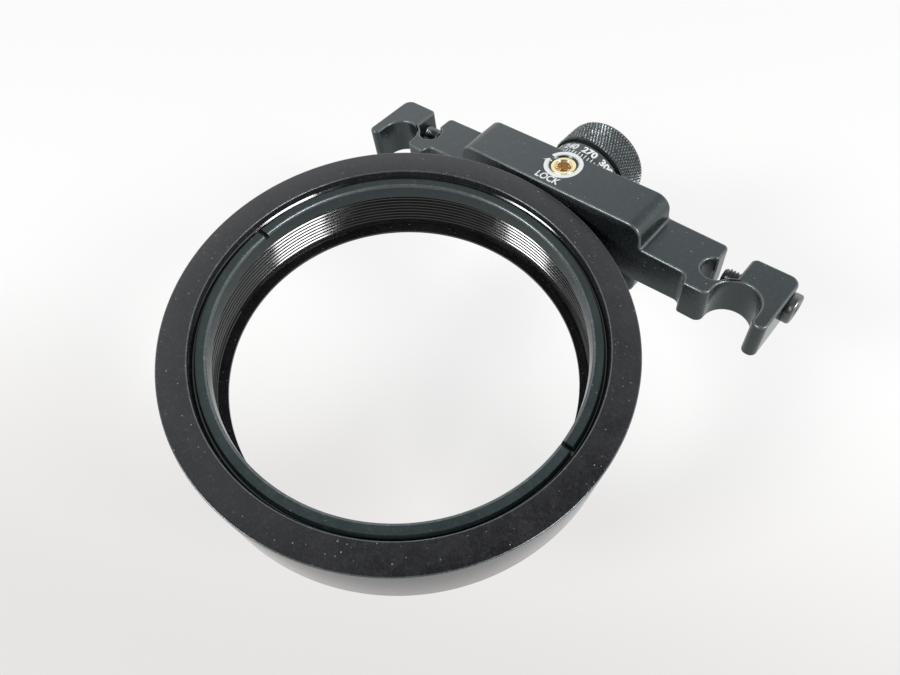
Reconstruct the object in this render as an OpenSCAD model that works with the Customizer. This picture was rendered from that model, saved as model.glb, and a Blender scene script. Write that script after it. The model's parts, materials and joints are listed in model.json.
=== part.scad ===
// Rotating lens mount for a two-inch optic on a pair of cage rods.
// A threaded lens cell turns on a spindle. The spindle runs in the block of a clamp bar, whose
// two slotted ends close on the rods like spring jaws when their screws are done up. A knob with
// a degree scale turns the spindle from behind, and a brass screw on top of the block locks it.
// Frame: X runs along the bar, Y from the cell to the knob and Z along the rods. The origin is
// where the optical axis crosses the spindle's axis.

/* [Cage rods] */
// Diameter of a cage rod
rod_d = 6; // [5:0.5:6.5]
// Distance between the axes of the two rods
rod_spacing = 60; // [58:0.5:66]
// Gap between a rod and the open arch around it
arch_clearance = 0.05; // [0.02:0.01:0.1]

/* [Optic] */
// Diameter of the optic that the cell takes
optic_d = 50.8; // [48:0.1:52]
// Radial clearance of the optic in the bore
optic_clearance = 0.2; // [0.1:0.02:0.3]

/* [Lens cell] */
// Thickness of the cell's wall around the bore
cell_wall = 4.3; // [3.8:0.1:5]
// Height of the lens cell along the optical axis
cell_h = 11.66; // [10.5:0.1:13]
// How far the lip that the optic sits on reaches in from the bore
lip_w = 1.35; // [0.8:0.05:2]
// Thickness of the lip
lip_t = 0.45; // [0.4:0.05:1.5]
// Width of the counterbore step at the mouth of the bore
mouth_step = 0.55; // [0.3:0.05:0.8]
// Depth of the counterbore at the mouth
mouth_depth = 0.92; // [0.6:0.02:1.3]
// Chamfer on the upper edge of the counterbore
mouth_chamfer = 0.2; // [0.05:0.05:0.4]
// Lead-in chamfer below the counterbore
lead_in = 0.3; // [0.1:0.05:0.5]
// Chamfer on the outer edges of the cell
cell_chamfer = 0.15; // [0.05:0.05:0.6]
// Turn of the cell about the spindle, in degrees
cell_turn = 9.55; // [-30:0.05:30]

/* [Retaining ring] */
// Width of the retaining ring, from its thread to its inner wall
retainer_w = 1.5; // [1.2:0.05:2.5]
// Thickness of the retaining ring
retainer_t = 2.7; // [1.5:0.05:3.5]
// Depth of its face below the top of the cell
retainer_depth = 0.75; // [0.2:0.05:3]
// Chamfer on its inner edge
retainer_inner_chamfer = 0.3; // [0.1:0.05:0.6]
// Chamfer on its outer edge, where its thread runs out
retainer_outer_chamfer = 0.15; // [0.05:0.01:0.3]
// Width of the two spanner slots
spanner_slot_w = 0.65; // [0.4:0.05:1.5]
// Depth of the two spanner slots
spanner_slot_depth = 0.8; // [0.4:0.05:1.2]
// Turn of the slots about the optical axis, in degrees
spanner_slot_turn = 3.8; // [-90:0.1:90]

/* [Clamp bar] */
// Gap between the rim of the cell and the bar
swing_gap = 0.3; // [0.2:0.05:0.6]
// Thickness of the bar along the rods
bar_h = 6; // [5:0.1:8]
// Depth of the bar from front to back
bar_depth = 7.5; // [7:0.1:9]
// How far the rod axes lie in front of the bar's front face
rod_setback = 0.2; // [0:0.05:0.6]
// Distance from a rod axis to the end face of the bar
bar_end_inset = 4.85; // [4.6:0.05:5.2]
// Distance from a rod axis to the inner face of its jaw
jaw_inset = 1.45; // [1:0.05:1.8]
// Distance from a rod axis to the outer face of its jaw
jaw_outset = 5; // [4.7:0.1:6]
// Thickness of the spring neck over each arch
neck_t = 0.6; // [0.4:0.05:0.8]
// Radius of the round relief at the root of each slot
relief_r = 1.8; // [1.4:0.1:2]
// Direction of the relief from the rod axis, in degrees up from the bar
relief_rise = 35.3; // [32:0.1:40]
// Width of the fixed leg beside each arch
fixed_leg_w = 3.6; // [3:0.1:4.2]
// How far the fixed leg reaches past the rod axis
fixed_leg_reach = 1.35; // [1.1:0.05:1.8]
// How far the jaw's leg reaches past the rod axis
jaw_leg_reach = 2.25; // [1.8:0.05:3]

/* [Rounded corners of the bar] */
// Radius at the back corners beside each slot
slot_corner_r = 0.8; // [0.4:0.1:1.2]
// Radius at the outer back corner of each jaw
jaw_corner_r = 1.5; // [0.5:0.1:2]
// Radius at the tip of each jaw's leg
jaw_tip_r = 0.9; // [0.3:0.05:0.95]
// Radius at the outer corner of each fixed leg
fixed_tip_r = 0.5; // [0.2:0.1:1]
// Radius where each fixed leg runs into its arch
arch_lead_r = 1.1; // [0.5:0.1:1.1]
// Radius of the inside corner between the bar and each fixed leg
leg_root_r = 1.2; // [0.5:0.1:2]

/* [Block] */
// Length of the block along the bar
block_l = 32; // [26:0.5:36]
// Height of the block along the rods
block_h = 13.5; // [13:0.1:16]
// Radius along the four edges at the ends of the block
block_edge_r = 2.3; // [1:0.1:3]
// Radius of the small inside corner where the block meets the bar
block_foot_r = 0.4; // [0.2:0.05:0.6]

/* [Spindle and knob] */
// Diameter of the spindle where it runs in the block
spindle_d = 6; // [5:0.1:7]
// Diameter of the spindle's flange and of the washers on it
flange_d = 9.8; // [8.6:0.1:10.4]
// Thickness of the flange
flange_t = 0.5; // [0.4:0.05:1]
// Depth of the flat on the cell that the flange sits on
seat_depth = 0.5; // [0.45:0.05:0.8]
// Diameter of the threaded nose in the cell's wall
nose_d = 4; // [3:0.1:4.4]
// Length of the threaded nose
nose_l = 2.8; // [2:0.1:3]
// Thickness of the washer under the knob
rear_washer_t = 0.25; // [0.15:0.05:0.5]
// Diameter of the spindle's end inside the knob
tail_d = 4.5; // [3.8:0.1:5]
// Length of the spindle's end inside the knob
tail_l = 5; // [4.2:0.1:5.6]
// How deep the flat on the spindle's end is cut, which drives the knob
tail_flat = 0.5; // [0.3:0.05:0.7]
// Diameter of the knob's degree drum
drum_d = 12.7; // [12:0.1:13]
// Length of the degree drum
drum_l = 2.85; // [2.2:0.05:3.2]
// How far the knob's grip stands above and below the block
grip_proud = 0.15; // [0:0.05:1]
// Length of the grip
grip_l = 4.75; // [4.4:0.05:6]
// Width of the groove between the drum and the grip
groove_w = 0.55; // [0.2:0.05:0.8]
// Depth of the groove, from the drum's surface
groove_depth = 0.6; // [0.3:0.05:0.9]
// Chamfer on both ends of the grip
grip_chamfer = 0.3; // [0.1:0.05:0.6]
// How far the knob's back stands past the screw head in its recess
knob_rim = 0.2; // [0.1:0.05:0.4]

/* [Screws] */
// Thread diameter of the locking screw
lock_screw_d = 4; // [3:0.5:4.5]
// Distance of the locking screw from the back of the block
lock_screw_inset = 2.75; // [2.7:0.05:4]
// How far the locking screw lies below the top of the block
lock_screw_sink = 0.15; // [0.1:0.05:0.6]
// Chamfer on the mouth of the locking screw's hole
lock_mouth_chamfer = 0.15; // [0.05:0.01:0.3]
// Gap that the unlocked screw leaves above the spindle
lock_gap = 0.1; // [0.05:0.05:0.3]
// Size across the flats of the locking screw's socket
lock_socket = 2; // [1.3:0.1:2.2]
// Depth of the locking screw's socket
lock_socket_depth = 1.6; // [1:0.1:1.8]
// Chamfer on both ends of the locking screw
lock_screw_chamfer = 0.2; // [0.1:0.02:0.3]
// Thread diameter of the clamp and knob screws
clamp_screw_d = 2.5; // [2:0.1:2.8]
// Distance of the clamp screws from the back of the bar
clamp_screw_inset = 2.3; // [2.2:0.05:2.5]
// Distance from the tip of a clamp screw to the bar's end face
clamp_tip_gap = 0.95; // [0.1:0.05:1.5]
// Diameter of the clamp and knob screw heads
head_d = 4.1; // [3.8:0.1:4.4]
// Height of the clamp and knob screw heads
head_h = 1.1; // [0.9:0.05:1.3]
// Radius on the edge of the screw heads
head_edge_r = 0.35; // [0.1:0.05:0.5]
// Size across the flats of the sockets in the heads
head_socket = 1.5; // [1:0.1:1.6]
// Depth of the sockets in the heads
head_socket_depth = 0.7; // [0.4:0.05:0.8]
// Chamfer on the tips of the clamp and knob screws
screw_tip_chamfer = 0.25; // [0.1:0.05:0.5]
// Length of the knob screw's thread inside the spindle
knob_screw_grip = 3.4; // [2.5:0.1:3.6]

/* [Marks] */
// Thickness of the printed marks
print_t = 0.04; // [0.02:0.01:0.08]
// Outer diameter of the locking arrow
arrow_d = 5.7; // [5.4:0.1:6]
// Width of the arrow's band
arrow_w = 0.7; // [0.4:0.05:0.8]
// Opening of the arrow's band, in degrees
arrow_gap = 28; // [20:1:90]
// Length of the arrow's head, in degrees
arrow_head = 12; // [8:1:16]
// Width of the arrow's head
arrow_head_w = 1.35; // [1:0.05:1.6]
// Direction of the base of the arrow's head from the screw, in degrees
arrow_base = 190; // [150:1:210]
// Degrees between two ticks of the scale
tick_step = 5; // [2.5:2.5:15]
// Length of the ticks at every ten degrees
tick_l = 0.9; // [0.6:0.05:1]
// Length of the ticks between them
short_tick_l = 0.7; // [0.4:0.05:1]
// Width of a tick
tick_w = 0.14; // [0.08:0.01:0.2]
// Distance from the drum's front edge to the ticks
tick_inset = 0.1; // [0.05:0.05:0.4]
// Turn of the scale on the drum, in degrees from the top towards the right
scale_turn = 1.1; // [-5:0.1:5]

/* [Fits] */
// Radial clearance of the spindle in the block and of the washers on the spindle
running_clearance = 0.03; // [0.01:0.01:0.1]
// Radial clearance of a screw in its threaded hole
thread_clearance = 0.03; // [0.01:0.01:0.1]
// Radial clearance of the retaining ring in the cell's bore
retainer_clearance = 0.05; // [0.02:0.01:0.1]
// Clearance of the knob on the spindle's end and of a head in its recess
knob_clearance = 0.02; // [0.01:0.01:0.05]
// End play of the spindle at each of its two washers
end_play = 0.02; // [0.01:0.01:0.05]

/* [Hidden] */
$fn = 96;
// Overrun of a cutter past the face that it opens
over = 1;

// Radii of the cell
cell_bore_r = optic_d / 2 + optic_clearance;
cell_r = cell_bore_r + cell_wall;
lip_r = cell_bore_r - lip_w;
mouth_r = cell_bore_r + mouth_step;
retainer_r = cell_bore_r - retainer_clearance;

// Places along Y, from the optical axis to the back of the knob
front_y = cell_r + swing_gap;
back_y = front_y + bar_depth;
rod_y = front_y - rod_setback;
seat_y = cell_r - seat_depth;
flange_y = seat_y + flange_t;
knob_y = back_y + rear_washer_t + 2 * end_play;
drum_end_y = knob_y + drum_l;
grip_y = drum_end_y + groove_w;
knob_end_y = grip_y + grip_l;
tail_end_y = knob_y + tail_l;
head_seat_y = knob_end_y - head_h - knob_rim;
lock_y = back_y - lock_screw_inset;
clamp_screw_y = back_y - clamp_screw_inset;

// Places along X on the right half of the bar
rod_x = rod_spacing / 2;
bar_end_x = rod_x - bar_end_inset;
jaw_in_x = rod_x - jaw_inset;
jaw_out_x = rod_x + jaw_outset;
arch_r = rod_d / 2 + arch_clearance;
fixed_leg_x = rod_x - arch_r - fixed_leg_w;
neck_r = arch_r + neck_t;
// The relief touches the neck's outer arc from outside
relief_reach = neck_r + relief_r;
relief_x = rod_x - relief_reach * cos(relief_rise);
relief_y = rod_y + relief_reach * sin(relief_rise);
neck_touch_y = rod_y + neck_r * sin(relief_rise);

// Radii of the spindle, the knob and the screws
spindle_r = spindle_d / 2;
flange_r = flange_d / 2;
drum_r = drum_d / 2;
grip_r = block_h / 2 + grip_proud;
washer_bore_r = spindle_r + running_clearance;
lock_screw_r = lock_screw_d / 2;
lock_hole_r = lock_screw_r + thread_clearance;
clamp_screw_r = clamp_screw_d / 2;
// Radius of a hexagonal socket's corners for a size across the flats
function corner_r(flats) = flats / 2 / cos(30);

// Turns what is drawn along Z to run along Y
module along_y() {
    rotate([-90, 0, 0]) children();
}

// Turns what is drawn along Z to run along X
module along_x() {
    rotate([0, 90, 0]) children();
}

// Waste outside a round corner of radius r. The sharp corner is at the origin, and the body
// lies on the positive side of both axes; sx and sy flip that side.
module corner_waste(r, sx = 1, sy = 1) {
    mirror([sx < 0 ? 1 : 0, 0]) mirror([0, sy < 0 ? 1 : 0]) difference() {
        translate([-over, -over]) square(r + over);
        translate([r, r]) circle(r);
    }
}

// Fill of an inside corner of radius r, which lies on the positive side of both axes
module corner_fill(r, sx = 1, sy = 1) {
    mirror([sx < 0 ? 1 : 0, 0]) mirror([0, sy < 0 ? 1 : 0]) difference() {
        square(r);
        translate([r, r]) circle(r);
    }
}

// Hexagonal socket of a given size across the flats, opening upwards at z = 0
module hex_socket(flats, depth) {
    translate([0, 0, -depth]) cylinder(r = corner_r(flats), h = depth + over, $fn = 6);
}

// Plan of one clamp end: the fixed leg, the arch, the neck and the jaw
module clamp_end_plan() {
    difference() {
        union() {
            translate([fixed_leg_x, rod_y])
                square([jaw_out_x - fixed_leg_x, back_y - rod_y]);
            translate([fixed_leg_x, rod_y - fixed_leg_reach])
                square([rod_x - fixed_leg_x, fixed_leg_reach]);
            translate([rod_x, rod_y - jaw_leg_reach])
                square([jaw_out_x - rod_x, jaw_leg_reach]);
            translate([fixed_leg_x, front_y]) corner_fill(leg_root_r, -1, -1);
        }
        translate([rod_x, rod_y]) circle(arch_r);
        translate([rod_x - arch_r, rod_y - jaw_leg_reach - over])
            square([2 * arch_r, jaw_leg_reach + over]);
        slot_plan();
        translate([bar_end_x, back_y]) corner_waste(slot_corner_r, -1, -1);
        translate([jaw_in_x, back_y]) corner_waste(slot_corner_r, 1, -1);
        translate([jaw_out_x, back_y]) corner_waste(jaw_corner_r, -1, -1);
        translate([jaw_out_x, rod_y - jaw_leg_reach]) corner_waste(jaw_tip_r, -1, 1);
        translate([rod_x + arch_r, rod_y - jaw_leg_reach]) corner_waste(jaw_tip_r, 1, 1);
        translate([fixed_leg_x, rod_y - fixed_leg_reach]) corner_waste(fixed_tip_r, 1, 1);
        translate([rod_x - arch_r, rod_y - fixed_leg_reach]) corner_waste(arch_lead_r, -1, 1);
    }
}

// Plan of the slot that frees the jaw: a round relief, and a gap down to the neck's outer arc
module slot_plan() {
    translate([relief_x, relief_y]) circle(relief_r);
    difference() {
        translate([bar_end_x, neck_touch_y])
            square([jaw_in_x - bar_end_x, back_y - neck_touch_y + over]);
        translate([rod_x, rod_y]) circle(neck_r);
    }
}

// Plan of the whole bar
module bar_plan() {
    difference() {
        translate([-fixed_leg_x, front_y]) square([2 * fixed_leg_x, bar_depth]);
        slot_plan();
        mirror([1, 0]) slot_plan();
    }
    clamp_end_plan();
    mirror([1, 0]) clamp_end_plan();
}

// End view of the block, with round edges and small inside corners on the bar
module block_section() {
    difference() {
        square([block_l, block_h], center = true);
        for (sx = [-1, 1], sy = [-1, 1])
            translate([-sx * block_l / 2, -sy * block_h / 2]) corner_waste(block_edge_r, sx, sy);
    }
    for (sx = [-1, 1], sy = [-1, 1])
        translate([sx * block_l / 2, sy * bar_h / 2]) corner_fill(block_foot_r, sx, sy);
}

// Bar, block and both clamp ends, machined from one piece
module clamp_bar() {
    color("#3c4043") difference() {
        union() {
            translate([0, 0, -bar_h / 2]) linear_extrude(bar_h) bar_plan();
            translate([0, back_y, 0]) rotate([90, 0, 0]) linear_extrude(bar_depth) block_section();
        }
        translate([0, front_y - over, 0]) along_y()
            cylinder(r = spindle_r + running_clearance, h = bar_depth + 2 * over);
        translate([0, lock_y, 0])
            cylinder(r = lock_hole_r, h = block_h / 2 + over);
        translate([0, lock_y, block_h / 2 - lock_mouth_chamfer])
            cylinder(r1 = lock_hole_r, r2 = lock_hole_r + lock_mouth_chamfer + over,
                h = lock_mouth_chamfer + over);
        for (side = [0, 1])
            mirror([side, 0, 0]) translate([jaw_in_x - over, clamp_screw_y, 0]) along_x()
                cylinder(r = clamp_screw_r + thread_clearance,
                    h = jaw_out_x - jaw_in_x + 2 * over);
    }
}

// Places its children on the optical axis, with z = 0 at the middle of the cell
module on_optical_axis() {
    rotate([0, cell_turn, 0]) children();
}

// Threaded lens cell with a lip below, and a flat and a threaded hole for the spindle
module lens_cell() {
    top = cell_h / 2;
    lead_top = top - mouth_depth;
    color("#2b2d30") on_optical_axis() difference() {
        rotate_extrude() polygon([
            [lip_r, -top],
            [cell_r - cell_chamfer, -top],
            [cell_r, -top + cell_chamfer],
            [cell_r, top - cell_chamfer],
            [cell_r - cell_chamfer, top],
            [mouth_r + mouth_chamfer, top],
            [mouth_r, top - mouth_chamfer],
            [mouth_r, lead_top],
            [mouth_r - lead_in, lead_top - lead_in],
            [cell_bore_r, lead_top - lead_in],
            [cell_bore_r, -top + lip_t],
            [lip_r, -top + lip_t]
        ]);
        translate([0, seat_y, 0]) along_y()
            cylinder(r = flange_r + knob_clearance, h = seat_depth + over);
        translate([0, seat_y - nose_l, 0]) along_y()
            cylinder(r = nose_d / 2 + thread_clearance, h = nose_l + over);
    }
}

// Threaded ring that holds the optic down, with two spanner slots
module retaining_ring() {
    top = cell_h / 2 - retainer_depth;
    bore_r = retainer_r - retainer_w;
    color("#38464a") on_optical_axis() difference() {
        rotate_extrude() polygon([
            [bore_r, top - retainer_t],
            [retainer_r, top - retainer_t],
            [retainer_r, top - retainer_outer_chamfer],
            [retainer_r - retainer_outer_chamfer, top],
            [bore_r + retainer_inner_chamfer, top],
            [bore_r, top - retainer_inner_chamfer]
        ]);
        rotate([0, 0, spanner_slot_turn])
            translate([-retainer_r - over, -spanner_slot_w / 2, top - spanner_slot_depth])
                cube([2 * (retainer_r + over), spanner_slot_w, spanner_slot_depth + over]);
    }
}

// Half outline of the spindle, with its height along Y
module spindle_outline() {
    journal_end_y = knob_y - end_play;
    polygon([
        [0, seat_y - nose_l],
        [nose_d / 2, seat_y - nose_l],
        [nose_d / 2, seat_y],
        [flange_r, seat_y],
        [flange_r, flange_y],
        [spindle_r, flange_y],
        [spindle_r, journal_end_y],
        [tail_d / 2, journal_end_y],
        [tail_d / 2, tail_end_y],
        [0, tail_end_y]
    ]);
}

// Steel spindle: threaded nose, flange, journal, and an end with a flat inside the knob
module spindle() {
    color("#b9bcc0") on_optical_axis() difference() {
        along_y() rotate_extrude() spindle_outline();
        translate([-tail_d / 2, knob_y - end_play, tail_d / 2 - tail_flat])
            cube([tail_d, tail_l + end_play + over, tail_flat + over]);
        translate([0, tail_end_y - knob_screw_grip - over / 2, 0]) along_y()
            cylinder(r = clamp_screw_r + thread_clearance, h = knob_screw_grip + over);
    }
}

// Flat washer of a given thickness around the spindle
module spindle_washer(t) {
    along_y() difference() {
        cylinder(r = flange_r - 2 * running_clearance, h = t);
        translate([0, 0, -over]) cylinder(r = washer_bore_r, h = t + 2 * over);
    }
}

// Washer between the spindle's flange and the block
module front_washer() {
    color("#c9b27a") translate([0, flange_y + end_play, 0])
        spindle_washer(front_y - flange_y - end_play);
}

// Washer between the block and the knob
module rear_washer() {
    color("#c9b27a") translate([0, back_y, 0]) spindle_washer(rear_washer_t);
}

// Half outline of the knob's outside: the degree drum, the groove and the grip
module knob_outline() {
    polygon([
        [0, knob_y],
        [drum_r, knob_y],
        [drum_r, drum_end_y],
        [drum_r - groove_depth, drum_end_y],
        [drum_r - groove_depth, grip_y],
        [grip_r - grip_chamfer, grip_y],
        [grip_r, grip_y + grip_chamfer],
        [grip_r, knob_end_y - grip_chamfer],
        [grip_r - grip_chamfer, knob_end_y],
        [0, knob_end_y]
    ]);
}

// Knob and degree drum in one piece, bored with a flat to fit the spindle's end
module knob() {
    bore_r = tail_d / 2 + knob_clearance;
    color("#46494c") on_optical_axis() difference() {
        along_y() rotate_extrude() knob_outline();
        difference() {
            translate([0, knob_y - over, 0]) along_y() cylinder(r = bore_r, h = over + tail_l);
            translate([-bore_r - over, knob_y - 2 * over, bore_r - tail_flat])
                cube([2 * (bore_r + over), tail_l + 3 * over, tail_flat + over]);
        }
        translate([0, tail_end_y - over, 0]) along_y()
            cylinder(r = clamp_screw_r + knob_clearance + thread_clearance, h = grip_l);
        translate([0, head_seat_y, 0]) along_y()
            cylinder(r = head_d / 2 + knob_clearance, h = head_h + knob_rim + over);
    }
}

// Socket-head screw along Z with the underside of its head at z = 0 and its tip at -shank_l
module head_screw(shank_l) {
    head_r = head_d / 2;
    difference() {
        rotate_extrude() difference() {
            polygon([
                [0, -shank_l],
                [clamp_screw_r - screw_tip_chamfer, -shank_l],
                [clamp_screw_r, -shank_l + screw_tip_chamfer],
                [clamp_screw_r, 0],
                [head_r, 0],
                [head_r, head_h],
                [0, head_h]
            ]);
            translate([head_r, head_h]) corner_waste(head_edge_r, -1, -1);
        }
        translate([0, 0, head_h]) hex_socket(head_socket, head_socket_depth);
    }
}

// Screw that pulls the knob onto the spindle
module knob_screw() {
    color("#55585b") on_optical_axis() translate([0, head_seat_y, 0]) along_y()
        head_screw(head_seat_y - tail_end_y + knob_screw_grip);
}

// Brass set screw on top of the block
module lock_screw() {
    tip_z = spindle_r + lock_gap;
    top_z = block_h / 2 - lock_screw_sink;
    color("#c8a04f") translate([0, lock_y, 0]) difference() {
        rotate_extrude() polygon([
            [0, tip_z],
            [lock_screw_r - lock_screw_chamfer, tip_z],
            [lock_screw_r, tip_z + lock_screw_chamfer],
            [lock_screw_r, top_z - lock_screw_chamfer],
            [lock_screw_r - lock_screw_chamfer, top_z],
            [0, top_z]
        ]);
        translate([0, 0, top_z]) hex_socket(lock_socket, lock_socket_depth);
    }
}

// Screw in the right jaw, which closes the arch by pushing on the bar's end face
module clamp_screw_right() {
    color("#4a4d50") translate([jaw_out_x, clamp_screw_y, 0]) along_x()
        head_screw(jaw_out_x - bar_end_x - clamp_tip_gap);
}

module clamp_screw_left() {
    mirror([1, 0, 0]) clamp_screw_right();
}

// White arrow round the locking screw: an open band with a pointed head at one end
module lock_arrow() {
    outer_r = arrow_d / 2;
    mid_r = outer_r - arrow_w / 2;
    // The head's base lies this many degrees inside the band
    lap = 2;
    color("white") translate([0, lock_y, block_h / 2]) linear_extrude(print_t)
        rotate([0, 0, arrow_base]) {
            difference() {
                circle(outer_r);
                circle(outer_r - arrow_w);
                rotate([0, 0, -lap]) polygon([
                    [0, 0],
                    [2 * outer_r, 0],
                    2 * outer_r * [cos(arrow_gap - lap), -sin(arrow_gap - lap)]
                ]);
            }
            polygon([
                [mid_r - arrow_head_w / 2, 0],
                [mid_r + arrow_head_w / 2, 0],
                mid_r * [cos(arrow_head), -sin(arrow_head)]
            ]);
        }
}

// Printed scale of the degree drum: thin ticks on its surface all the way round
module degree_ticks() {
    tick_angle = tick_w / drum_r * 180 / PI;
    color("white") on_optical_axis() translate([0, knob_y + tick_inset, 0]) along_y()
        for (angle = [0 : tick_step : 360 - tick_step])
            rotate([0, 0, angle + scale_turn - tick_angle / 2]) rotate_extrude(angle = tick_angle)
                translate([drum_r, 0]) square([print_t, angle % 10 == 0 ? tick_l : short_tick_l]);
}

clamp_bar();
lens_cell();
retaining_ring();
spindle();
front_washer();
rear_washer();
knob();
knob_screw();
lock_screw();
clamp_screw_left();
clamp_screw_right();
lock_arrow();
degree_ticks();
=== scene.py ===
import json

import bmesh
import bpy
import numpy as np
from mathutils import Matrix, Vector


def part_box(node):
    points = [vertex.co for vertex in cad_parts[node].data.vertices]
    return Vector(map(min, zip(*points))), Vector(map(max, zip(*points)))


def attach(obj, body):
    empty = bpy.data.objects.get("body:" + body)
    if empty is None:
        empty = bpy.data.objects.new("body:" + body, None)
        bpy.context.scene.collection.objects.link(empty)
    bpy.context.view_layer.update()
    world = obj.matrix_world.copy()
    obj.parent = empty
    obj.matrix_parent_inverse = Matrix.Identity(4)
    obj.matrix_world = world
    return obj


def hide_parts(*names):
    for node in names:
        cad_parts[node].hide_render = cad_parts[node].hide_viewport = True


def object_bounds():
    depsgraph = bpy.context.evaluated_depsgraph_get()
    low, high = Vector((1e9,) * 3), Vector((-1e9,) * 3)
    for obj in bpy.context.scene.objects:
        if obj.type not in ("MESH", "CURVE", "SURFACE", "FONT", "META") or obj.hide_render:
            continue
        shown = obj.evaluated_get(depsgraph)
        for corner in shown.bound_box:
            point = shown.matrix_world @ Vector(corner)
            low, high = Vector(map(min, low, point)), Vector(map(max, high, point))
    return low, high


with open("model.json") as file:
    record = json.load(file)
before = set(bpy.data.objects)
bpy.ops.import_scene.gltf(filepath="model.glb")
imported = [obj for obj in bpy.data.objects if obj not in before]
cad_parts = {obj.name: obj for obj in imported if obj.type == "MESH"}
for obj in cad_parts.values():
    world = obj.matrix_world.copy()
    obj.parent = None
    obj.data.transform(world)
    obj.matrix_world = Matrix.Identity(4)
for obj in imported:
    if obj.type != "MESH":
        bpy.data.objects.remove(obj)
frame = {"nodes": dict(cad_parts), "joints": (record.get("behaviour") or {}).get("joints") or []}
cad_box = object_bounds()

# ---------------------------------------------------------------------------------------------
# Camera: a wide lens held close above the near edge of the ring, a little to the right, so that
# the ring looks large and the bar lies behind it.
camera_at = Vector((0.0442131, -0.0274968, 0.0699677))
camera_right = Vector((0.735856, 0.667455, -0.114104))
camera_down = Vector((0.492543, -0.643235, -0.586217))
camera_ahead = Vector((-0.464669, 0.375170, -0.802078))
lens = bpy.data.cameras.new("camera")
lens.lens, lens.sensor_width = 26.284, 36.0
lens.clip_start, lens.clip_end = 0.001, 20.0
camera = bpy.data.objects.new("camera", lens)
turn = Matrix((camera_right, -camera_down, -camera_ahead)).transposed()
camera.matrix_world = Matrix.Translation(camera_at) @ turn.to_4x4()
bpy.context.scene.collection.objects.link(camera)
bpy.context.scene.camera = camera
bpy.context.scene.view_settings.view_transform = "Standard"

# ---------------------------------------------------------------------------------------------
# Floor: a large sheet of matt white board, which lies far enough below the mount for the ring to
# turn right round. It glows, with painted shade: warmer and a little darker at the front, and
# even and white far away.
floor_drop, floor_half = 0.020, 3.0
board_colour, board_rough, board_ior = (0.2, 0.199, 0.196), 0.9, 1.3
# Painted shade: along back_way, from front_edge to back_edge, the glow rises from its front level
# and its tint turns from warm to white.
back_way, front_edge, back_edge = (-0.44, 0.90, 0.0), -0.045, 0.03
front_tone, back_tone = -0.1, 1.0
painted_shade_glow, more_glow, far_glow, mirrored_glow = 0.485, 0.2, 0.96, 0.75
far_from, far_to = 0.3, 1.2
painted_shade_tint, white = (1.0, 0.972, 0.955), (1.0, 1.0, 1.0)
meet_within = 1e-7


def new_material(name, colour, roughness, metallic=0.0, ior=1.5):
    """A material with one Principled shader, whose even values are set on its own sockets. Gives
    the material, its node tree, the shader and the place on the object as an output."""
    material = bpy.data.materials.new(name)
    material.use_nodes = True
    shader = material.node_tree.nodes["Principled BSDF"]
    shader.inputs["Base Color"].default_value = (*colour, 1.0)
    shader.inputs["Roughness"].default_value = roughness
    shader.inputs["Metallic"].default_value = metallic
    shader.inputs["IOR"].default_value = ior
    place = material.node_tree.nodes.new("ShaderNodeTexCoord").outputs["Object"]
    return material, material.node_tree, shader, place


def add_node(tree, kind, fed, **settings):
    """Adds a node to a tree and gives its outputs. fed holds its inputs by name or number: an
    output is linked to the input, and a value or a colour is set on it."""
    node = tree.nodes.new("ShaderNode" + kind)
    for name, value in settings.items():
        setattr(node, name, value)
    for name, value in fed.items():
        if isinstance(value, bpy.types.NodeSocket):
            tree.links.new(value, node.inputs[name])
        else:
            node.inputs[name].default_value = value
    return node.outputs


def mapped(tree, value, low, high, at_low, at_high, kind="LINEAR"):
    """A value moved from low..high to at_low..at_high, and held inside that range."""
    return add_node(tree, "MapRange", {"Value": value, "From Min": low, "From Max": high,
                                       "To Min": at_low, "To Max": at_high},
                    interpolation_type=kind)["Result"]


def maths(tree, kind, *values):
    """The sum of the kind named, such as ADD or MULTIPLY, of values or outputs."""
    return add_node(tree, "Math", dict(enumerate(values)), operation=kind)[0]


def mixed(tree, factor, first, second):
    """A value that goes from first to second as the factor goes from 0 to 1."""
    return add_node(tree, "Mix", {"Factor": factor, "A": first, "B": second})["Result"]


def mixed_colour(tree, factor, first, second):
    """A colour that goes from first to second as the factor goes from 0 to 1."""
    ends = [(*end, 1.0) if isinstance(end, tuple) else end for end in (first, second)]
    return add_node(tree, "Mix", {"Factor": factor, "A": ends[0], "B": ends[1]},
                    data_type="RGBA")["Result"]


def surface(name, points, material, closed=True, sharp=30.0):
    """Object from a grid of points in mm, rows x columns x 3. Each face joins four neighbours, and
    points that meet are merged, which closes seams and poles and drops faces of no width."""
    rows, columns = points.shape[:2]
    number = np.arange(rows * columns).reshape(rows, columns)
    here, ahead = number[:, :-1], number[:, 1:]
    faces = np.stack([here[:-1], ahead[:-1], ahead[1:], here[1:]], -1).reshape(-1, 4)
    mesh = bpy.data.meshes.new(name)
    mesh.from_pydata((points.reshape(-1, 3) * 0.001).tolist(), [], faces.tolist())
    work = bmesh.new()
    work.from_mesh(mesh)
    bmesh.ops.remove_doubles(work, verts=work.verts, dist=meet_within)
    if closed:
        bmesh.ops.recalc_face_normals(work, faces=work.faces)
    work.to_mesh(mesh)
    work.free()
    mesh.shade_smooth()
    mesh.set_sharp_from_angle(angle=np.radians(sharp))
    mesh.materials.append(material)
    piece = bpy.data.objects.new(name, mesh)
    bpy.context.scene.collection.objects.link(piece)
    return piece


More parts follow.
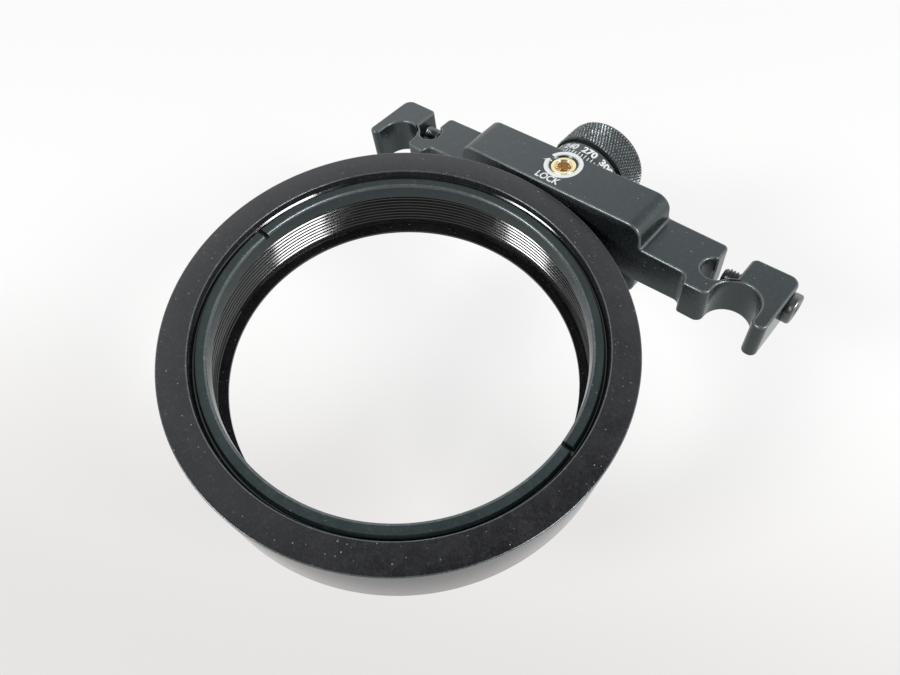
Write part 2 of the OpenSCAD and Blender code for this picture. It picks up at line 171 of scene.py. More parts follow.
board, tree, shader, place = new_material("matt_board", board_colour, board_rough, ior=board_ior)
# The glow, seen by the camera and in reflections, carries painted shade: dimmer and warmer at the
# front.
backwards = add_node(tree, "VectorMath", {0: place, 1: back_way}, operation="DOT_PRODUCT")["Value"]
painted_shade_tone = mapped(tree, backwards, front_edge, back_edge, front_tone, back_tone, "SMOOTHSTEP")
how_far = add_node(tree, "VectorMath", {0: place}, operation="LENGTH")["Value"]
far = mapped(tree, how_far, far_from, far_to, 0.0, 1.0, "SMOOTHSTEP")
glow = mixed(tree, far, maths(tree, "MULTIPLY_ADD", painted_shade_tone, more_glow, painted_shade_glow), far_glow)
ray = add_node(tree, "LightPath", {})
shown = maths(tree, "MULTIPLY_ADD", ray["Is Glossy Ray"], mirrored_glow, ray["Is Camera Ray"])
tree.links.new(maths(tree, "MULTIPLY", shown, glow), shader.inputs["Emission Strength"])
tree.links.new(mixed_colour(tree, painted_shade_tone, painted_shade_tint, white), shader.inputs["Emission Color"])
reach = np.linspace(-floor_half, floor_half, 3) * 1000
across, along = np.meshgrid(reach, reach)
level = np.full_like(across, (cad_box[0][2] - floor_drop) * 1000)
floor = surface("floor", np.stack([across, along, level], -1), board, closed=False)

# ---------------------------------------------------------------------------------------------
# Light: a small soft box on the right and one on the left of the camera, and a sky like a white
# sheet that sweeps up behind the table. The sky is bright low at the back, dim in front and
# overhead, and darkest in one patch above the mount.
lamp_distance = 0.7
# Each band is a low and a high measure of the way, and the brightness at each.
sky_colour = (0.98, 0.99, 1.0, 1.0)
overhead, dim_overhead = (0.25, 0.0, 1.0), (0.5, 0.85, 1.22, 0.68)
sky_back, dim_front = (-0.4, 0.9, 0.0), (-0.2, 0.08, 0.15, 1.0)
lens_shade, dim_patch = (0.14, 0.22, 0.96), (0.15, 0.44, 0.06, 1.0)


def soft_box(name, azimuth, elevation, size, watts):
    """Oblong lamp at a direction in degrees, turned to the origin. The way to it is
    (cos azimuth cos elevation, sin azimuth cos elevation, sin elevation)."""
    a, e = np.radians([azimuth, elevation])
    lamp = bpy.data.lights.new(name, "AREA")
    lamp.shape, lamp.size, lamp.size_y, lamp.energy = "RECTANGLE", size[0], size[1], watts
    box = bpy.data.objects.new(name, lamp)
    towards = Vector((np.cos(a) * np.cos(e), np.sin(a) * np.cos(e), np.sin(e)))
    box.matrix_world = (Matrix.Translation(towards * lamp_distance)
                        @ towards.to_track_quat("Z", "Y").to_matrix().to_4x4())
    bpy.context.scene.collection.objects.link(box)


soft_box("right_soft_box", 8, 31, (0.25, 0.2), 4.9)
soft_box("left_soft_box", -110, 37, (0.22, 0.2), 4.6)
sky = bpy.data.worlds.new("sky")
sky.use_nodes = True
tree = sky.node_tree
way = add_node(tree, "TexCoord", {})["Generated"]
brightness = 1.0
for kind, point, band in (("DOT_PRODUCT", overhead, dim_overhead),
                          ("DOT_PRODUCT", sky_back, dim_front),
                          ("DISTANCE", lens_shade, dim_patch)):
    measure = add_node(tree, "VectorMath", {0: way, 1: point}, operation=kind)["Value"]
    share = mapped(tree, measure, *band, "SMOOTHSTEP")
    brightness = maths(tree, "MULTIPLY", brightness, share)
ray = add_node(tree, "LightPath", {})
sky_light = tree.nodes["Background"]
sky_light.inputs["Color"].default_value = sky_colour
shown = mixed(tree, ray["Is Camera Ray"], brightness, 1.0)
tree.links.new(shown, sky_light.inputs["Strength"])
bpy.context.scene.world = sky

# ---------------------------------------------------------------------------------------------
# Clamp bar: block, bar and two spring jaws milled from one piece of aluminium. It is bead
# blasted, anodised black, and every edge has a fine break from deburring, which is coloured
# lighter: partly rubbed anodising and partly a painted highlight.
edge_break, break_steps = 0.3, 3
# The breaks stay off the rims of the spindle's bore and of the clamp screws' holes: radius, and
# the places on the jaws beyond which only the upper and lower rims are broken.
spindle_bore_r, jaw_x, clamp_hole_y, jaw_rim_z = 4.0, 28.0, 33.2, 2.9
# The dye's clouds and its rubbed haze: sizes in mm, and how far they change the colour. The dust
# lies that many specks apart.
cloud_size, haze_size, rubbed_gain, rubbed_lift, haze_most = 3.0, 0.6, 3.5, 0.005, 0.9
dye_dark, dye_light, dust_colour, dust_spacing = 0.6, 1.4, (0.16, 0.16, 0.16), 9
# Points and edges this small, in metres, and bends this slight, in degrees, are closed up.
joined_within, too_short, straight_within, crease = 2e-7, 6e-5, 0.2, 28


def noise(tree, place, size, detail=2.0, rough=0.5):
    """Noise whose largest forms are about size mm."""
    return add_node(tree, "TexNoise", {"Vector": place, "Scale": 1000.0 / size,
                                       "Detail": detail, "Roughness": rough})["Fac"]


def roughen(tree, shader, height, depth, strength):
    """Puts a height of up to depth mm into the surface's bump."""
    bump = add_node(tree, "Bump", {"Height": height, "Distance": depth * 0.001,
                                   "Strength": strength})
    tree.links.new(bump["Normal"], shader.inputs["Normal"])


def anodised(name, colour, roughness, ior, grain, speck, specks, tint=(0.82, 0.97, 1.0),
             relief=0.35):
    """Dyed anodising: fine blasted grain in the bump, cloudy dye, a paler haze of rubbed places
    and small pale specks of dust. It is glossier where it is seen at a low angle. grain and speck
    are the sizes of a blasted dimple and of a dust speck in mm, specks is the share of the
    surface's cells that hold one, tint is the colour of the oxide's sheen, and relief is how
    strong the bump is."""
    material, tree, shader, place = new_material(name, colour, roughness, ior=ior)
    shader.inputs["Specular Tint"].default_value = (*tint, 1.0)
    cloud = noise(tree, place, cloud_size, 4.0, 0.6)
    fine = noise(tree, place, grain * 3, 2.0, 0.7)
    mottle = maths(tree, "ADD", mapped(tree, fine, 0.3, 0.7, 0.0, 0.5),
                   mapped(tree, cloud, 0.3, 0.7, 0.0, 0.5))
    shade = mixed_colour(tree, mottle, tuple(c * dye_dark for c in colour),
                         tuple(c * dye_light for c in colour))
    haze = mapped(tree, noise(tree, place, haze_size, 5.0, 0.8), 0.54, 0.74, 0.0, haze_most)
    shade = mixed_colour(tree, haze, shade, tuple(c * rubbed_gain + rubbed_lift for c in colour))

    cells = add_node(tree, "TexVoronoi", {"Vector": place,
                                          "Scale": 1000.0 / (speck * dust_spacing)})
    chance = add_node(tree, "SeparateColor", {"Color": cells["Color"]})
    shrink = mapped(tree, chance["Green"], 0.0, 1.0, 0.0, 0.14)
    edge = maths(tree, "SUBTRACT", cells["Distance"], shrink)
    kept = mapped(tree, chance["Red"], 1.0 - specks, 1.0 - specks + 0.02, 0.0, 1.0)
    dust = maths(tree, "MULTIPLY", mapped(tree, edge, 0.0, 0.05, 1.0, 0.0), kept)
    shade = mixed_colour(tree, dust, shade, dust_colour)
    tree.links.new(shade, shader.inputs["Base Color"])

    facing = add_node(tree, "LayerWeight", {"Blend": 0.5})["Facing"]
    rough = maths(tree, "MULTIPLY",
                  mapped(tree, mottle, 0.2, 0.8, roughness - 0.06, roughness + 0.08),
                  mapped(tree, facing, 0.6, 0.88, 1.0, 0.25))
    tree.links.new(rough, shader.inputs["Roughness"])
    roughen(tree, shader, noise(tree, place, grain, 1.0), grain * 0.2, relief)
    return material


def merged_copy(node, name, materials):
    """Copy of a CAD node's mesh with its loose triangles joined, its flat faces made whole and the
    edges that are too short to be rounded closed up."""
    mesh = frame["nodes"][node].data.copy()
    mesh.name = name
    mesh.materials.clear()
    for material in materials:
        mesh.materials.append(material)
    work = bmesh.new()
    work.from_mesh(mesh)
    bmesh.ops.remove_doubles(work, verts=work.verts, dist=joined_within)
    bmesh.ops.dissolve_limit(work, angle_limit=np.radians(straight_within), verts=work.verts,
                             edges=work.edges)
    bmesh.ops.dissolve_degenerate(work, dist=too_short, edges=work.edges)
    work.to_mesh(mesh)
    work.free()
    mesh.shade_smooth()
    mesh.set_sharp_from_angle(angle=np.radians(crease))
    piece = bpy.data.objects.new(name, mesh)
    bpy.context.scene.collection.objects.link(piece)
    return piece


def break_edges(piece, width, steps, wanted):
    """Rounds the sharp edges that wanted picks by the places of their middles in mm, to a width in
    mm, in the second finish."""
    mesh = piece.data
    ends = np.empty(len(mesh.edges) * 2, np.int32)
    mesh.edges.foreach_get("vertices", ends)
    places = np.empty(len(mesh.vertices) * 3)
    mesh.vertices.foreach_get("co", places)
    middle = places.reshape(-1, 3)[ends.reshape(-1, 2)].mean(1) * 1000
    sharp = np.empty(len(mesh.edges), bool)
    mesh.attributes["sharp_edge"].data.foreach_get("value", sharp)
    weight = (sharp & wanted(*middle.T)).astype(np.float32)
    mesh.attributes.new("bevel_weight_edge", "FLOAT", "EDGE").data.foreach_set("value", weight)
    bevel = piece.modifiers.new("edge_break", "BEVEL")
    bevel.width, bevel.segments = width * 0.001, steps
    bevel.limit_method, bevel.use_clamp_overlap = "WEIGHT", False
    bevel.harden_normals = True
    bevel.miter_outer = "MITER_ARC"
    bevel.material = 1


black_anodised = anodised("black_anodised", (0.006, 0.0075, 0.008), 0.28, 1.7, 0.09, 0.06, 0.2)
# Painted highlight: the edge breaks' finish is much lighter than the faces, partly rubbed
# anodising and partly a painted glint along each edge.
rubbed_and_highlit_edge = anodised("rubbed_and_highlit_edge", (0.04, 0.043, 0.045), 0.34, 1.85, 0.07, 0.05, 0.1)
bar = merged_copy("clamp_bar", "milled_clamp_bar", (black_anodised, rubbed_and_highlit_edge))
break_edges(bar, edge_break, break_steps,
            lambda x, y, z: (np.hypot(x, z) > spindle_bore_r)
            & ((abs(x) < jaw_x) | (y < clamp_hole_y) | (abs(z) > jaw_rim_z)))
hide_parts("clamp_bar")
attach(bar, "frame")

# ---------------------------------------------------------------------------------------------
# Lens cell: aluminium ring turned in a lathe, with a fine thread in its bore, a polished lead-in
# above the thread, a lip below it and a flat spot with a hole for the spindle. Anodised black.
optical_axis = Vector(next(j["axis"] for j in frame["joints"] if j["name"] == "retainer_turn"))
cell_tilt = np.array(Matrix.Rotation(np.arctan2(optical_axis.x, optical_axis.z), 3, "Y"))
cell_r, cell_top, lip_r, lip_t, mouth_r, mouth_depth = 29.885, 5.83, 24.25, 0.45, 26.15, 1.04
mouth_edge_r, lead_in_r, lead_in_top, lead_in_end = 0.15, 25.9, 4.54, 4.42
thread_root_r, thread_crest_r, thread_pitch, relief_r = 25.83, 25.45, 0.64, 25.85
thread_top, thread_end = 4.32, -4.77
worn_crest = ((0.0, 0.0), (0.25, 1.0), (0.66, 0.27), (0.72, 0.02))
flat_y, flat_r, spindle_hole_r, nose_length = 29.4, 4.92, 2.03, 2.8
cell_columns, turned_crease = 384, 20
# How far the bore's and the mouth's own finishes reach: about the mouth's radius, up from the
# mouth's floor, and down from the top. The mouth's wall is given a lighter colour as painted
# light.
bore_band, wall_band, floor_band, top_band = 0.75, 0.15, 0.1, 0.3


def rounded(corners, radii, steps=4):
    """Outline of (r, z) corners in mm, each rounded by an arc of the given radius: the arc
    touches both sides at r x tan(turn / 2) from the corner, and is drawn with steps + 1 points."""
    out = []
    corners = np.asarray(corners, float)
    for k, radius in enumerate(radii):
        here = corners[k]
        if radius == 0:
            out.append(here[None])
            continue
        back = (corners[k - 1] - here) / np.linalg.norm(corners[k - 1] - here)
        ahead = corners[(k + 1) % len(corners)] - here
        ahead = ahead / np.linalg.norm(ahead)
        half = np.arccos(np.clip(back @ ahead, -1, 1)) / 2
        middle = here + (back + ahead) / np.linalg.norm(back + ahead) * radius / np.sin(half)
        first = here + back * radius / np.tan(half) - middle
        last = here + ahead * radius / np.tan(half) - middle
        share = np.linspace(0, 1, steps + 1)[:, None]
        arc = first * (1 - share) + last * share
        out.append(middle + arc / np.linalg.norm(arc, axis=1)[:, None] * radius)
    return np.concatenate(out)


def turned(outline, columns):
    """Points of an (r, z) outline turned about Z: (r cos a, r sin a, z), rows x columns x 3."""
    a = np.linspace(0, 2 * np.pi, columns + 1)
    r, z = outline[:, :1], outline[:, 1:]
    return np.stack([r * np.cos(a), r * np.sin(a), z + 0 * a], -1)


v_form = ((0.0, 0.0), (0.06, 0.0), (0.5, 1.0), (0.56, 1.0))


def thread(top, tip, columns, end_r, far_r, pitch, lead=1.0, form=v_form):
    """Points of a screw thread about Z. Rows run along the helix, so that crests and roots stay
    sharp: z = top + pitch x (turn - row), kept between tip and top. form lists the corners of one
    pitch, as its share of the pitch and how far the radius is from end_r to far_r there; the
    radius fades to end_r over lead pitches at both ends."""
    a = np.linspace(0, 2 * np.pi, columns + 1)
    share, far = np.array(form).T
    pitches = np.arange(np.ceil((top - tip) / pitch) + 2)[:, None]
    row = (pitches + share).ravel()[:, None]
    far = np.tile(far, len(pitches))[:, None]
    z = np.clip(top + pitch * (a / (2 * np.pi) - row), tip, top)
    fade = np.clip(np.minimum(top - z, z - tip) / (lead * pitch), 0, 1)
    r = end_r + (far_r - end_r) * far * fade
    return np.stack([r * np.cos(a), r * np.sin(a), z], -1)


def cut(piece, cutter):
    """Takes the cutter's volume out of the piece's mesh, and removes the cutter."""
    tool = piece.modifiers.new("cut", "BOOLEAN")
    tool.object, tool.operation, tool.solver = cutter, "DIFFERENCE", "EXACT"
    bpy.context.view_layer.update()
    ready = piece.evaluated_get(bpy.context.evaluated_depsgraph_get())
    mesh = bpy.data.meshes.new_from_object(ready)
    piece.modifiers.remove(tool)
    piece.data = mesh
    bpy.data.objects.remove(cutter)
    mesh.shade_smooth()
    mesh.set_sharp_from_angle(angle=np.radians(turned_crease))


def second_finish(piece, material, chosen, turned_by=cell_tilt):
    """Gives a further material to the faces that chosen picks by the places of their middles, in
    mm and in the frame that turned_by turns, which is the cell's own."""
    middle = np.empty(len(piece.data.polygons) * 3)
    piece.data.polygons.foreach_get("center", middle)
    picked = chosen(*(middle.reshape(-1, 3) @ turned_by * 1000).T)
    finish = np.empty(len(picked), np.int32)
    piece.data.polygons.foreach_get("material_index", finish)
    finish[picked] = len(piece.data.materials)
    piece.data.materials.append(material)
    piece.data.polygons.foreach_set("material_index", finish)


mouth_floor = cell_top - mouth_depth
outside = rounded([(lip_r, -cell_top + lip_t), (lip_r, -cell_top), (cell_r, -cell_top),
                   (cell_r, cell_top), (mouth_r, cell_top), (mouth_r, mouth_floor),
                   (lead_in_r, lead_in_top), (lead_in_r, lead_in_end),
                   (thread_crest_r, thread_top + 0.02)],
                  [0.08, 0.12, 0.15, 0.15, mouth_edge_r, 0.03, 0.02, 0.02, 0.02], 6)
inside = np.array([(relief_r, thread_end - 0.2), (relief_r, -cell_top + lip_t),
                   (lip_r + 0.1, -cell_top + lip_t)])
points = np.concatenate([turned(outside, cell_columns),
                         thread(thread_top, thread_end, cell_columns, thread_crest_r,
                                thread_root_r, thread_pitch, 1.0, worn_crest),
                         turned(inside, cell_columns), turned(outside[:1], cell_columns)])
cell_anodised = anodised("cell_anodised", (0.007, 0.007, 0.008), 0.27, 1.64, 0.09, 0.06, 0.35,
                         (0.95, 0.97, 1.0))
cell = surface("turned_lens_cell", points @ cell_tilt.T, cell_anodised, sharp=turned_crease)
spot = turned(np.array([(0, flat_y - nose_length), (spindle_hole_r, flat_y - nose_length),
                        (spindle_hole_r, flat_y), (flat_r, flat_y), (flat_r, flat_y + 2),
                        (0, flat_y + 2)]), 96)
along_y = np.array([[1.0, 0, 0], [0, 0, -1], [0, 1, 0]])
cut(cell, surface("spot", spot @ along_y, black_anodised))
turned_bright = anodised("turned_bright", (0.002, 0.0023, 0.0025), 0.13, 1.68, 0.05, 0.05, 0.08,
                         white, 0.08)
second_finish(cell, turned_bright, lambda x, y, z: (abs(np.hypot(x, y) - mouth_r) < bore_band)
              & (z > -cell_top + lip_t) & (z < mouth_floor + floor_band))
# Painted light: the mouth's wall gets a lighter colour than the bore, to lift a wall that sees
# only dark around it.
turned_wall_painted_light = anodised("turned_wall_painted_light", (0.016, 0.017, 0.019), 0.13, 1.7, 0.05, 0.05, 0.08, white,
                       0.08)
second_finish(cell, turned_wall_painted_light, lambda x, y, z: (abs(np.hypot(x, y) - mouth_r) < wall_band)
              & (z > mouth_floor + floor_band) & (z < cell_top - top_band))
# Painted highlight: the rounded top edges of the mouth and of the outside get a much lighter
# colour, partly worn anodising and partly a painted glint.
turned_and_highlit_edge = anodised("turned_and_highlit_edge", (0.04, 0.042, 0.044), 0.3, 1.8, 0.05, 0.05, 0.08)
second_finish(cell, turned_and_highlit_edge, lambda x, y, z: (z > cell_top - mouth_edge_r)
              & ((np.hypot(x, y) < mouth_r + mouth_edge_r)
                 | (np.hypot(x, y) > cell_r - mouth_edge_r)))
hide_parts("lens_cell")
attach(cell, "rotor")

# ---------------------------------------------------------------------------------------------
# Retaining ring: thin threaded ring that holds the optic down, with two slots for a spanner.
# Aluminium in a greener, satin black. Its inner chamfer is lighter, partly bright where the tool
# cut it and partly a painted highlight.
ring_top, ring_t, ring_crest_r, ring_root_r, ring_bore_r = 5.08, 2.7, 25.72, 25.46, 24.05
ring_chamfer_r, ring_chamfer_h, bore_edge_r, ring_columns = 25.36, 0.12, 0.4, 360
slot_w, slot_depth, slot_turn, blade_reach = 0.65, 0.8, 3.8, 27
retainer_anodised = anodised("retainer_anodised", (0.006, 0.010, 0.0105), 0.44, 1.57, 0.07, 0.05,
                             0.1)
face = rounded([(ring_bore_r, ring_top - ring_t), (ring_bore_r, ring_top),
                (ring_chamfer_r, ring_top), (ring_root_r, ring_top - ring_chamfer_h)],
               [0.1, bore_edge_r, 0.03, 0], 6)
points = np.concatenate([turned(face, ring_columns),
                         thread(thread_top + thread_pitch - 0.02, ring_top - ring_t,
                                ring_columns, ring_root_r, ring_crest_r, thread_pitch, 0.5),
                         turned(face[:1], ring_columns)])
ring = surface("threaded_retaining_ring", points @ cell_tilt.T, retainer_anodised)
a = np.radians(slot_turn)
level_turn = np.array([[np.cos(a), -np.sin(a), 0], [np.sin(a), np.cos(a), 0], [0, 0, 1]])
corners = np.array([(-1, -1), (1, -1), (1, 1), (-1, 1)]) * [blade_reach, slot_w / 2]
corners = np.concatenate([corners, corners[:1]])
blade = np.array([np.c_[corners * k, np.full(5, ring_top + z)]
                  for k, z in ((0, -slot_depth), (1, -slot_depth), (1, 1), (0, 1))])
cut(ring, surface("blade", blade @ level_turn.T @ cell_tilt.T, retainer_anodised))
# Painted highlight: the rounded inner edge of the retaining ring gets the same lighter colour,
# partly worn and partly a painted glint.
second_finish(ring, turned_and_highlit_edge, lambda x, y, z: (np.hypot(x, y) < ring_bore_r + bore_edge_r)
              & (z > ring_top - bore_edge_r) & (z < ring_top - 0.005))
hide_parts("retaining_ring")
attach(ring, "retainer")

# ---------------------------------------------------------------------------------------------
# Knob: degree drum and grip turned from one piece of aluminium and anodised black, with a groove
# between them and a diamond knurl rolled into the grip. Its back is recessed for the head of the
# screw that holds it on the spindle.
low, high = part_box("knob")
knob_y, knob_end_y, grip_r = low.y * 1000, high.y * 1000, 6.9
drum_r, drum_l, groove_w, groove_depth, grip_chamfer = 6.35, 2.85, 0.55, 0.6, 0.3
tail_bore_r, tail_bore_l, head_seat_y, recess_r, screw_bore_r = 2.3, 5, 44.84, 2.07, 1.3
knurl_n, knurl_rise, knurl_depth, knurl_land, tip_wear = 84, 0.955, 0.33, 0.1, 0.35
knob_columns = knurl_n * 6
drum_end_y = knob_y + drum_l
grip_y = drum_end_y + groove_w
bore_end_y = knob_y + tail_bore_l


def knurl(y, columns):
    """Points of a diamond knurl about Z at heights y. Two crossed families of V grooves are cut
    into the grip: the depth is the deeper of the two waves of (turn x count) +- (y / rise), and
    each tooth's tip is flattened by its own share of tip_wear."""
    a = np.linspace(0, 2 * np.pi, columns + 1)
    around, up = a * knurl_n / (2 * np.pi), (y[:, None] - y[0]) / knurl_rise
    waves = [np.abs(((around + s * up) % 1.0) - 0.5) * 2 for s in (-1, 1)]
    deep = np.clip((1 - np.minimum(*waves) - knurl_land) / (1 - knurl_land), 0, 1)
    tooth = [np.floor(around + s * up).astype(int) % knurl_n for s in (-1, 1)]
    worn = np.random.default_rng(7).random((knurl_n, knurl_n))[*tooth]
    deep = deep + (1 - deep) * tip_wear * worn
    ends = np.minimum(y - y[0], y[-1] - y)[:, None]
    r = grip_r - knurl_depth * deep
    r = np.minimum(r, grip_r - grip_chamfer + ends)
    return np.stack([r * np.cos(a), r * np.sin(a), y[:, None] + 0 * r], -1)


front = rounded([(tail_bore_r, bore_end_y), (tail_bore_r, knob_y), (drum_r, knob_y),
                 (drum_r, drum_end_y), (drum_r - groove_depth, drum_end_y),
                 (drum_r - groove_depth, grip_y), (grip_r - grip_chamfer, grip_y)],
                [0, 0.1, 0.08, 0.08, 0.03, 0.03, 0])
back = rounded([(grip_r - grip_chamfer, knob_end_y), (recess_r, knob_end_y),
                (recess_r, head_seat_y), (screw_bore_r, head_seat_y),
                (screw_bore_r, bore_end_y)], [0, 0.12, 0.03, 0.05, 0])
teeth = round((knob_end_y - grip_y - 2 * grip_chamfer) / knurl_rise * 6) + 1
grip = np.concatenate([[grip_y], np.linspace(grip_y + grip_chamfer, knob_end_y - grip_chamfer,
                                             teeth), [knob_end_y]])
points = np.concatenate([turned(front, knob_columns), knurl(grip, knob_columns),
                         turned(back, knob_columns), turned(front[:1], knob_columns)])
knob_anodised = anodised("knob_anodised", (0.015, 0.0165, 0.018), 0.36, 1.7, 0.07, 0.05, 0.1)
# Painted highlight: the knurl's tips get a much lighter colour, partly worn anodising and partly
# standing in for the glints on the teeth.
rubbed_and_highlit_knurl = anodised("rubbed_and_highlit_knurl", (0.16, 0.168, 0.172), 0.34, 1.9, 0.05, 0.05, 0.1)
knob = surface("knurled_knob", points @ along_y @ cell_tilt.T, knob_anodised,
               sharp=turned_crease)
second_finish(knob, rubbed_and_highlit_knurl, lambda x, y, z: (np.hypot(x, z) > grip_r - knurl_depth * 0.5)
              & (y > grip_y + grip_chamfer) & (y < knob_end_y - grip_chamfer))
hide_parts("knob")
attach(knob, "rotor")

# ---------------------------------------------------------------------------------------------
# Lock screw: brass set screw in the top of the block, machine cut, with no head, a thread and a
# hexagonal socket whose floor and walls are painted darker and browner, as painted shade.
low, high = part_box("lock_screw")
lock_at = np.array([low.x + high.x, low.y + high.y, 0]) * 500
lock_top, lock_tip, lock_r, lock_pitch, lock_depth = high.z * 1000, low.z * 1000, 1.98, 0.7, 0.32
lock_flats, lock_socket, lock_mouth_r, lock_mouth_depth, socket_shade_r = 2.0, 1.6, 1.36, 0.22, 1.3
rim_in_r, rim_out_r, rim_chamfer, rim_root_r, rim_h = 1.42, 1.78, 0.2, 1.7, 0.35
# For every screw: the floor of its socket, which a drill left hollow, and its broken tip.
drill_point, floor_share, floor_rise = 0.15, 0.92, 0.08
tip_rise, tip_break, run_out = 0.08, 0.1, 0.15
tarnish_size, tarnish_dark, tarnish_light, rough_spread = 1.5, 0.75, 1.15, 0.08
screw_columns = 96


def socket_rows(flats, depth, mouth_r, mouth_depth, top):
    """Points of a hexagonal socket about Z, from the middle of its floor to its round mouth. The
    distance to the wall of a hexagon is half the flats over cos(a), a measured from a flat."""
    a = np.linspace(0, 2 * np.pi, screw_columns + 1)
    wall = flats / 2 / np.cos((a + np.pi / 6) % (np.pi / 3) - np.pi / 6)
    rows = [(0 * wall, top - depth - drill_point), (wall * floor_share, top - depth),
            (wall, top - depth + floor_rise), (wall, top - mouth_depth), (0 * wall + mouth_r, top)]
    return np.stack([np.stack([r * np.cos(a), r * np.sin(a), z + 0 * a], -1) for r, z in rows])


def screw(name, outline, socket, shank, pitch, depth, material, place):
    """Screw about Z: its socket, the (r, z) outline of its head, its threaded shank from shank[1]
    down to shank[2] with radius shank[0], and a closed tip."""
    r, top, tip = shank
    end = np.array([(r - depth - 0.02, tip + tip_rise), (r - depth - tip_break, tip), (0, tip)])
    points = np.concatenate([socket, turned(outline, screw_columns),
                             thread(top, tip + run_out, screw_columns, r - depth, r, pitch, 0.6),
                             turned(end, screw_columns)])
    return surface(name, place(points), material)


def metal(name, colour, roughness, metallic=1.0, tool_mark=0.04):
    """Machined metal: the tool's fine marks in the bump and roughness, and uneven tarnish."""
    material, tree, shader, place = new_material(name, colour, roughness, metallic)
    marks = noise(tree, place, tool_mark * 4, 3.0)
    shade = mixed_colour(tree, noise(tree, place, tarnish_size),
                         tuple(c * tarnish_dark for c in colour),
                         tuple(min(c * tarnish_light, 1.0) for c in colour))
    tree.links.new(shade, shader.inputs["Base Color"])
    rough = mapped(tree, marks, 0.0, 1.0, roughness - rough_spread, roughness + rough_spread)
    tree.links.new(rough, shader.inputs["Roughness"])
    roughen(tree, shader, marks, tool_mark * 0.2, 0.3)
    return material


brass = metal("brass", (0.94, 0.80, 0.47), 0.3)
rim = rounded([(rim_in_r, lock_top), (rim_out_r, lock_top), (lock_r, lock_top - rim_chamfer),
               (rim_root_r, lock_top - rim_h)], [0, 0.05, 0.03, 0])
socket = socket_rows(lock_flats, lock_socket, lock_mouth_r, lock_mouth_depth, lock_top)
lock = screw("brass_lock_screw", rim, socket, (lock_r, lock_top - 0.4, lock_tip), lock_pitch,
             lock_depth, brass, lambda p: p + lock_at)
# Painted shade: the socket's floor and walls get a darker, browner brass than the rest of the
# screw.
socket_shade_brass = metal("socket_shade_brass", (0.76, 0.62, 0.42), 0.35)
second_finish(lock, socket_shade_brass, lambda x, y, z:
              (np.hypot(x - lock_at[0], y - lock_at[1]) < socket_shade_r) & (z < lock_top - 0.1),
              np.eye(3))
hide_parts("lock_screw")
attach(lock, "lock")

# ---------------------------------------------------------------------------------------------
# Clamp screws and knob screw: blackened steel with a low round head and a hexagonal socket. The
# first two pull the jaws shut from outside, and the third holds the knob on the spindle.
head_r, head_h, head_edge_r, shank_r, shank_pitch, shank_depth = 2.05, 1.1, 0.35, 1.25, 0.45, 0.26
key_flats, key_depth, key_mouth_r, key_mouth_depth, shank_start = 1.5, 0.7, 0.94, 0.08, -0.05
black_steel = metal("black_steel", (0.17, 0.175, 0.175), 0.32, 0.9)
head = rounded([(0.98, head_h), (head_r, head_h), (head_r, 0), (shank_r, 0)],
               [0, head_edge_r, 0.06, 0])
socket = socket_rows(key_flats, key_depth, key_mouth_r, key_mouth_depth, head_h)
along_x = np.array([[0, 0, -1.0], [0, 1, 0], [1, 0, 0]])
for side, x_way in (("left", -1), ("right", 1)):
    low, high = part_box("clamp_screw_" + side)
    inner, outer = sorted((abs(low.x), abs(high.x)))
    seat = np.array([(outer * 1000 - head_h) * x_way, (low.y + high.y) * 500, 0])
    clamp = screw("threaded_clamp_screw_" + side, head, socket,
                  (shank_r, shank_start, (inner - outer) * 1000 + head_h), shank_pitch,
                  shank_depth, black_steel, lambda p: p @ (along_x * [x_way, 1, x_way]) + seat)
    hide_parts("clamp_screw_" + side)
    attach(clamp, side + "_clamp")

low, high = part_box("knob_screw")
seat = np.array([0, high.y * 1000 - head_h, 0])
knob_screw = screw("threaded_knob_screw", head, socket,
                   (shank_r, shank_start, (low.y - high.y) * 1000 + head_h), shank_pitch,
                   shank_depth, black_steel, lambda p: (p @ along_y + seat) @ cell_tilt.T)
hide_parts("knob_screw")
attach(knob_screw, "rotor")

# ---------------------------------------------------------------------------------------------
# Spindle and washers: turned steel spindle and two bronze washers, which show only in the thin
# gaps between the cell, the block and the knob. The solids' own shapes are kept.
steel = metal("steel", (0.55, 0.55, 0.56), 0.3)
bronze = metal("bronze", (0.5, 0.36, 0.17), 0.35)
for node, finish in (("spindle", steel), ("front_washer", bronze), ("rear_washer", bronze)):
    frame["nodes"][node].data.materials[0] = finish

# ---------------------------------------------------------------------------------------------
# Marks: white ink printed on the anodising. The word LOCK under the arrow, and the degrees of the
# drum every 30 degrees, with their tops towards the grip.
print_lift, print_step = 0.012, 0.2
word_height, word_width, word_bold, word_x, word_y = 1.3, 3.9, 0.025, -0.2, 31.5
number_h, number_bold, figure_w, figure_gap = 1.3, 0.045, 0.87, 0.12
number_y, ink_r, scale_turn = 39.82, drum_r + print_lift, 1.1
thin_ink, full_ink, ink_grain = (0.42, 0.435, 0.43), (0.64, 0.65, 0.64), 0.25
ink, tree, shader, place = new_material("white_print", full_ink, 0.55)
shade = mixed_colour(tree, noise(tree, place, ink_grain, 3.0), thin_ink, full_ink)
tree.links.new(shade, shader.inputs["Base Color"])
for node in ("lock_arrow", "degree_ticks"):
    frame["nodes"][node].data.materials[0] = ink


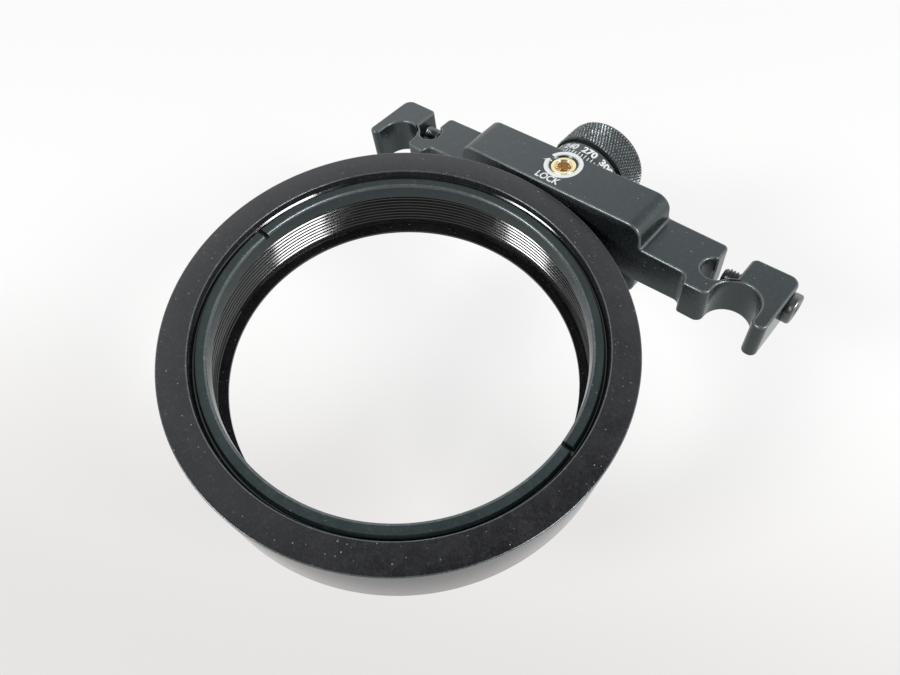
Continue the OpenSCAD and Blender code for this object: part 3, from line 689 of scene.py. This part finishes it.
def lettering(name, words, height, bold, width, place):
    """Flat mesh of a word in mm, middle at the origin, capitals of the given height, strokes
    thickened by bold, letters spread to the given width, then every point moved by place."""
    text = bpy.data.curves.new(name, "FONT")
    text.body, text.align_x, text.align_y = words, "CENTER", "CENTER"
    text.offset, text.resolution_u, text.fill_mode = bold, 6, "FRONT"
    holder = bpy.data.objects.new(name, text)
    bpy.context.scene.collection.objects.link(holder)
    bpy.context.view_layer.update()
    mesh = bpy.data.meshes.new_from_object(
        holder.evaluated_get(bpy.context.evaluated_depsgraph_get()))
    bpy.data.objects.remove(holder)
    work = bmesh.new()
    work.from_mesh(mesh)
    long_edges = [edge for edge in work.edges if edge.calc_length() > print_step]
    bmesh.ops.subdivide_edges(work, edges=long_edges, cuts=3, use_grid_fill=False)
    bmesh.ops.triangulate(work, faces=work.faces)
    work.to_mesh(mesh)
    work.free()
    flat = np.empty(len(mesh.vertices) * 3)
    mesh.vertices.foreach_get("co", flat)
    flat = flat.reshape(-1, 3)
    low, high = flat.min(0), flat.max(0)
    flat = (flat - (low + high) / 2) * [width / (high[0] - low[0]), height / (high[1] - low[1]), 0]
    mesh.vertices.foreach_set("co", (place(flat) * 0.001).ravel())
    mesh.materials.clear()
    mesh.materials.append(ink)
    piece = bpy.data.objects.new(name, mesh)
    bpy.context.scene.collection.objects.link(piece)
    return piece


def on_drum(middle):
    """Bends flat print round the drum: x over the radius is the turn from middle, y is along Y."""
    def bend(flat):
        a = flat[:, 0] / ink_r + middle
        y = flat[:, 1] + number_y
        return np.stack([ink_r * np.sin(a), y, ink_r * np.cos(a)], -1) @ cell_tilt.T
    return bend


low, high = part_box("lock_arrow")
word_z = low.z * 1000 + print_lift
word = lettering("lock_word", "LOCK", word_height, word_bold, word_width,
                 lambda p: p + [word_x, word_y, word_z])
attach(word, "frame")
for degrees in range(0, 360, 30):
    figures = str(degrees)
    piece = lettering("drum_number_" + figures, figures, number_h, number_bold,
                      figure_w * len(figures) - figure_gap,
                      on_drum(np.radians(degrees - 270 + scale_turn)))
    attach(piece, "rotor")
